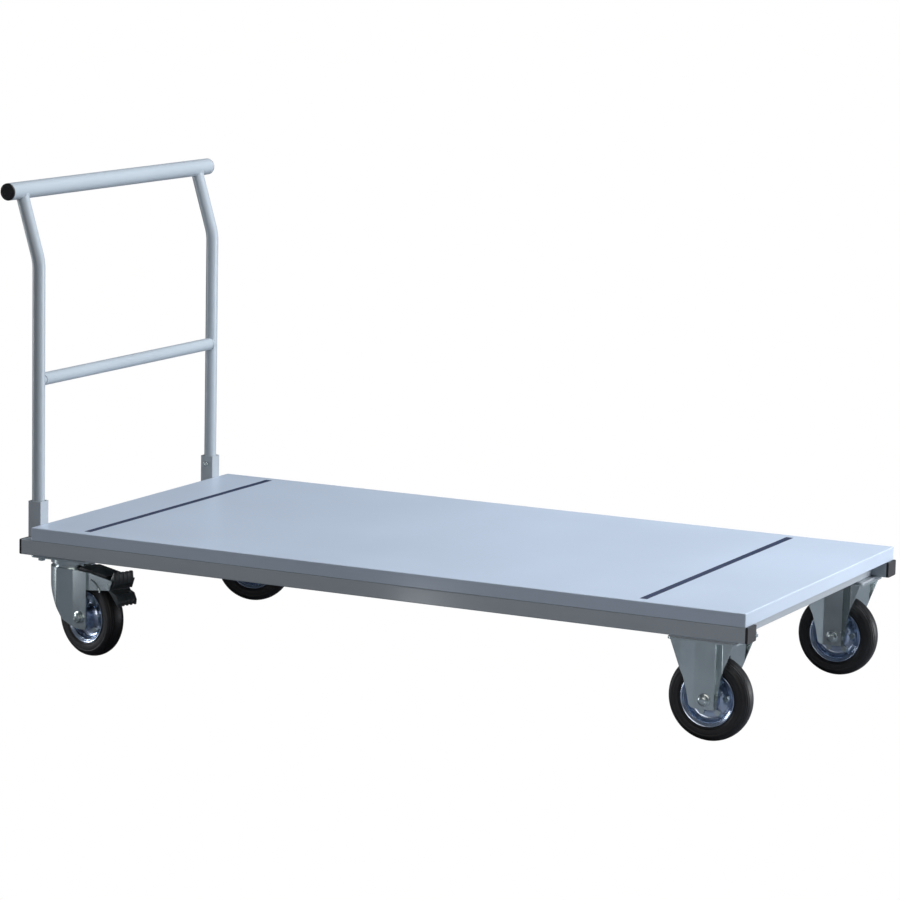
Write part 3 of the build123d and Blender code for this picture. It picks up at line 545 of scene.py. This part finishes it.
class CART_OT_axles(bpy.types.Operator):
    """Axle bolts with a washer, a round-cornered hexagon head and a sleeve"""

    bl_idname = "cart.axles"
    bl_label = "Axle Bolts"

    def execute(self, context):
        corners = []
        for angle in (math.tau * n / 6 for n in range(6)):
            outward = Vector((math.cos(angle), 0, math.sin(angle)))
            corners.append(outward * HEAD_CORNER_RADIUS + Vector((0, HEAD_FOOT, 0)))
        hexagon = extruded(corners, Vector((0, HEAD_TOP - HEAD_FOOT, 0)))
        round_edges(hexagon, HEAD_EDGE, segments=3)
        pattern = joined(
            turned(AXLE_OUTLINE, steps=48), hexagon, turned(BOLT_CAP_OUTLINE, steps=48),
            turned(WASHER_OUTLINE, steps=64),
        )
        front = []
        for end, side in WHEELS:
            bolt = own_copy(pattern)
            if end == "front":
                bolt.matrix_world = wheel_place(end, side)
                front.append(bolt)
            else:
                finish_piece(
                    bolt, f"rear_axle_bolt_{side}", "swivel_" + side, "zinc_fastener",
                    ["rear_axle_" + side], wheel_place(end, side), smooth=30,
                )
        finish_piece(
            joined(*front), "front_axle_bolts", "frame", "zinc_fastener", ["front_axles"], smooth=30,
        )
        bpy.data.objects.remove(pattern)
        return {"FINISHED"}


class CART_OT_brakes(bpy.types.Operator):
    """Moulded brake pedals with ribs, and the pressed bead on each brake arm"""

    bl_idname = "cart.brakes"
    bl_label = "Brake Pedals and Beads"

    def execute(self, context):
        sizes = context.scene.cart_sizes
        side_view = [Vector((x, 0, z)) * MM for x, z in PEDAL_OUTLINE]
        start = Vector((0, -PEDAL_WIDTH / 2, 0))
        body = extruded([point + start for point in side_view], Vector((0, PEDAL_WIDTH, 0)))
        round_edges(body, sizes.pedal_edge, segments=3, angle=25)
        ribs = []
        for offset in PEDAL_RIBS:
            start = Vector((0, offset * MM - sizes.pedal_rib / 2, 0))
            rib = extruded([point + start for point in side_view], Vector((0, sizes.pedal_rib, 0)))
            rib.scale = PEDAL_RIB_GROWTH
            rib.location = [middle * (1 - growth) for middle, growth in zip(PEDAL_MIDDLE, PEDAL_RIB_GROWTH)]
            choose(rib)
            bpy.ops.object.transform_apply(location=True, rotation=True, scale=True)
            round_edges(rib, PEDAL_RIB_EDGE, angle=25)
            ribs.append(rib)
        pedal = joined(body, *ribs)
        bead = turned_bead(sizes.brake_bead)
        for side in SIDES:
            place = caster_place(side)
            finish_piece(
                own_copy(pedal), "moulded_pedal_" + side, "pedal_" + side, "pedal_plastic",
                ["brake_pedal_" + side], place @ Matrix.Translation(PEDAL_PIN), smooth=30,
            )
            finish_piece(
                own_copy(bead), "brake_arm_bead_" + side, "swivel_" + side, "zinc_fork",
                place=place, smooth=60,
            )
        bpy.data.objects.remove(pedal)
        bpy.data.objects.remove(bead)
        return {"FINISHED"}


def turned_bead(radius):
    """Part of a ring of round section on each face of the brake arm."""
    beads = []
    for out in (-1, 1):
        deselect()
        bpy.ops.mesh.primitive_circle_add(vertices=16, radius=radius, fill_type="NGON")
        bpy.ops.object.mode_set(mode="EDIT")
        bpy.ops.mesh.select_all(action="SELECT")
        face = out * BEAD_FACE_Y
        bpy.ops.transform.translate(value=(BEAD_START_X, face, BEAD_START_Z))
        bpy.ops.mesh.spin(
            steps=24, angle=BEAD_SWEEP, center=(BEAD_CENTRE_X, face, BEAD_CENTRE_Z), axis=(0, 1, 0),
        )
        close_shape()
        beads.append(bpy.context.object)
    return joined(*beads)


class CART_OT_handle_welds(bpy.types.Operator):
    """Weld beads where the rung and the grip bar meet the legs"""

    bl_idname = "cart.handle_welds"
    bl_label = "Handle Welds"

    def execute(self, context):
        bead = context.scene.cart_sizes.weld_bead
        bar_low, bar_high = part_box("grip_bar")
        bar_middle = (bar_low + bar_high) / 2
        rung_low, rung_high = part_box("handle_rung")
        rung_z = (rung_low.z + rung_high.z) / 2
        leg_radius = (rung_high.z - rung_low.z) / 2
        bar_radius = (bar_high.z - bar_low.z) / 2
        lean = Matrix.Rotation(LEG_LEAN, 4, "Y")
        for side, sign in SIDES.items():
            leg_low, leg_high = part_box("handle_leg_" + side)
            leg_y = (leg_low.y + leg_high.y) / 2
            leg_x = leg_high.x - leg_radius
            under_bar = Matrix.Translation((bar_middle.x, leg_y, bar_middle.z)) @ lean
            # the ring's own axis turned across the cart, and its host's axis upright
            across = Matrix(((0, 1, 0, 0), (0, 0, sign, 0), (sign, 0, 0, 0), (0, 0, 0, 1)))
            beside_leg = Matrix.Translation((leg_x, leg_y, rung_z)) @ across
            for joint, place, host in (("bar", under_bar, bar_radius), ("rung", beside_leg, leg_radius)):
                finish_piece(
                    saddle_weld(leg_radius, host, bead), f"{joint}_weld_{side}", "handle",
                    "powder_coat_handle", place=place, smooth=60,
                )
        return {"FINISHED"}


def saddle_weld(radius, host, bead):
    """A rippled ring that follows a tube's end where it meets a round host tube along its local Y."""
    deselect()
    bpy.ops.mesh.primitive_torus_add(
        major_radius=radius, minor_radius=bead, major_segments=96, minor_segments=10,
    )
    piece = bpy.context.object
    for vertex in piece.data.vertices:
        point = vertex.co
        around = math.atan2(point.y, point.x)
        ripple = 1 + WELD_RIPPLE_DEPTH * math.cos(WELD_RIPPLES * around)
        ring = Vector((math.cos(around), math.sin(around), 0)) * radius
        point = ring + (point - ring) * ripple
        # kept just inside the host's edge, where the saddle would drop away
        across = min(abs(point.x), host * 0.985)
        vertex.co = Vector((point.x, point.y, point.z - math.sqrt(host ** 2 - across ** 2)))
    return piece


class CART_OT_strips(bpy.types.Operator):
    """Ribbed anti-slip strips let into the deck"""

    bl_idname = "cart.strips"
    bl_label = "Anti-Slip Strips"

    def execute(self, context):
        rib = context.scene.cart_sizes.strip_rib
        for end in ("rear", "front"):
            low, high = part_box(end + "_grip_strip")
            pitch = (high.x - low.x) / STRIP_RIBS
            outline = [Vector((low.x, low.y, low.z)), Vector((low.x, low.y, high.z))]
            for index in range(STRIP_RIBS):
                for along, up in STRIP_RIB_OUTLINE:
                    outline.append(Vector((low.x + (index + along) * pitch, low.y, high.z + up * rib)))
            outline += [Vector((high.x, low.y, high.z)), Vector((high.x, low.y, low.z))]
            piece = extruded(outline, Vector((0, high.y - low.y, 0)))
            finish_piece(piece, end + "_ribbed_strip", "frame", "grip_strip", [end + "_grip_strip"])
        return {"FINISHED"}


class CART_OT_plugs(bpy.types.Operator):
    """Moulded plugs in the ends of the grip bar, and round-edged plugs in the beams"""

    bl_idname = "cart.plugs"
    bl_label = "Tube Plugs"

    def execute(self, context):
        pattern = turned(BAR_PLUG_OUTLINE, steps=64)
        low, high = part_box("grip_bar_plugs")
        bar_low, bar_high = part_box("grip_bar")
        ends = []
        for side, sign in SIDES.items():
            plug = own_copy(pattern)
            face = bar_high.y if sign > 0 else bar_low.y
            middle = Matrix.Translation(((low.x + high.x) / 2, face, (low.z + high.z) / 2))
            plug.matrix_world = middle @ Matrix.Rotation(0 if sign > 0 else math.pi, 4, "Z")
            ends.append(plug)
        finish_piece(joined(*ends), "bar_end_plugs", "handle", "plastic_plug", ["grip_bar_plugs"])
        bpy.data.objects.remove(pattern)
        beam_plugs = pressed_copy("beam_end_plugs")
        round_edges(beam_plugs, BEAM_PLUG_EDGE, segments=3)
        finish_piece(
            beam_plugs, "rounded_beam_plugs", "frame", "plastic_plug", ["beam_end_plugs"], level_faces=True,
        )
        return {"FINISHED"}


class CART_OT_studio(bpy.types.Operator):
    """Pale floor, soft lights and the camera"""

    bl_idname = "cart.studio"
    bl_label = "Studio and Camera"

    def execute(self, context):
        set_camera(context.scene)
        lay_floor()
        fill_air(context.scene)
        for lamps, lights_surfaces in ((LIGHTS, True), (GLINTS, False)):
            for name, place, aim, size, power, colour in lamps:
                data = bpy.data.lights.new(name, "AREA")
                data.shape = "RECTANGLE"
                data.size, data.size_y = size
                data.energy = power
                data.color = linear(colour)[:3]
                lamp = bpy.data.objects.new(name, data)
                lamp.location = place
                lamp.rotation_mode = "QUATERNION"
                lamp.rotation_quaternion = (Vector(aim) - Vector(place)).to_track_quat("-Z", "Y")
                lamp.visible_camera = False
                lamp.visible_diffuse = lights_surfaces
                lamp.visible_glossy = name != MATT_LAMP
                context.scene.collection.objects.link(lamp)
        return {"FINISHED"}


def set_camera(scene):
    """Point the camera at the cart from its distance."""
    back = Vector((
        math.sin(CAMERA_AZIMUTH) * math.cos(CAMERA_ELEVATION),
        -math.cos(CAMERA_AZIMUTH) * math.cos(CAMERA_ELEVATION),
        math.sin(CAMERA_ELEVATION),
    ))
    data = bpy.data.cameras.new("camera")
    data.lens = CAMERA_LENS_MM
    data.sensor_width = CAMERA_SENSOR_MM
    camera = bpy.data.objects.new("camera", data)
    scene.collection.objects.link(camera)
    place = Matrix.Translation(CAMERA_TARGET + back * CAMERA_DISTANCE)
    facing = (-back).to_track_quat("-Z", "Y").to_matrix().to_4x4()
    camera.matrix_world = place @ facing @ Matrix.Rotation(CAMERA_ROLL, 4, "Z")
    scene.camera = camera


def mixed_by_camera(tree, felt, seen, output_kind):
    """Show the camera one shader, and let all other light meet another."""
    path = add_node(tree, "ShaderNodeLightPath")
    mix = add_node(tree, "ShaderNodeMixShader", {0: path.outputs["Is Camera Ray"], 1: felt, 2: seen})
    add_node(tree, output_kind, {"Surface": mix.outputs["Shader"]})


def lay_floor():
    """A pale floor: plain white to the camera, and a grey that sends up little light."""
    bpy.ops.mesh.primitive_plane_add(size=FLOOR_SIZE, location=(0, 0, CAD_BOX[0][2]))
    floor = bpy.context.object
    floor.name = "floor"
    sheet = bpy.data.materials.new("pale floor")
    sheet.use_nodes = True
    tree = sheet.node_tree
    tree.nodes.clear()
    paper = add_node(tree, "ShaderNodeBsdfDiffuse", {"Color": linear(FLOOR_BOUNCE)})
    glow = add_node(tree, "ShaderNodeEmission", {"Color": linear(WHITE), "Strength": 1.0})
    mixed_by_camera(tree, paper.outputs["BSDF"], glow.outputs["Emission"], "ShaderNodeOutputMaterial")
    floor.data.materials.append(sheet)


def fill_air(scene):
    """Faint cool light from all round, with plain white behind the cart."""
    world = bpy.data.worlds.new("studio air")
    world.use_nodes = True
    tree = world.node_tree
    tree.nodes.clear()
    felt = add_node(
        tree, "ShaderNodeBackground", {"Color": linear(AIR_COLOUR), "Strength": AIR_STRENGTH},
    )
    seen = add_node(tree, "ShaderNodeBackground", {"Color": linear(WHITE), "Strength": 1.0})
    mixed_by_camera(
        tree, felt.outputs["Background"], seen.outputs["Background"], "ShaderNodeOutputWorld",
    )
    scene.world = world
    scene.view_settings.view_transform = "Standard"


class CART_PT_panel(bpy.types.Panel):
    """Buttons that build the cart's looks"""

    bl_label = "Platform Cart"
    bl_idname = "CART_PT_panel"
    bl_space_type = "VIEW_3D"
    bl_region_type = "UI"
    bl_category = "Cart"

    def draw(self, context):
        for settings in (context.scene.cart_colours, context.scene.cart_sizes):
            for name in settings.__annotations__:
                self.layout.prop(settings, name)
        for operator in OPERATORS:
            self.layout.operator(operator.bl_idname)


OPERATORS = (
    CART_OT_finish_frame, CART_OT_tyres, CART_OT_rims, CART_OT_forks, CART_OT_axles, CART_OT_brakes,
    CART_OT_handle_welds, CART_OT_strips, CART_OT_plugs, CART_OT_studio,
)
CLASSES = (CartColours, CartSizes) + OPERATORS + (CART_PT_panel,)


def register():
    for each in CLASSES:
        bpy.utils.register_class(each)
    bpy.types.Scene.cart_colours = bpy.props.PointerProperty(type=CartColours)
    bpy.types.Scene.cart_sizes = bpy.props.PointerProperty(type=CartSizes)


def unregister():
    del bpy.types.Scene.cart_colours
    del bpy.types.Scene.cart_sizes
    for each in reversed(CLASSES):
        bpy.utils.unregister_class(each)


def main():
    register()
    for operator in OPERATORS:
        group, action = operator.bl_idname.split(".")
        getattr(getattr(bpy.ops, group), action)()


if __name__ == "__main__":
    main()
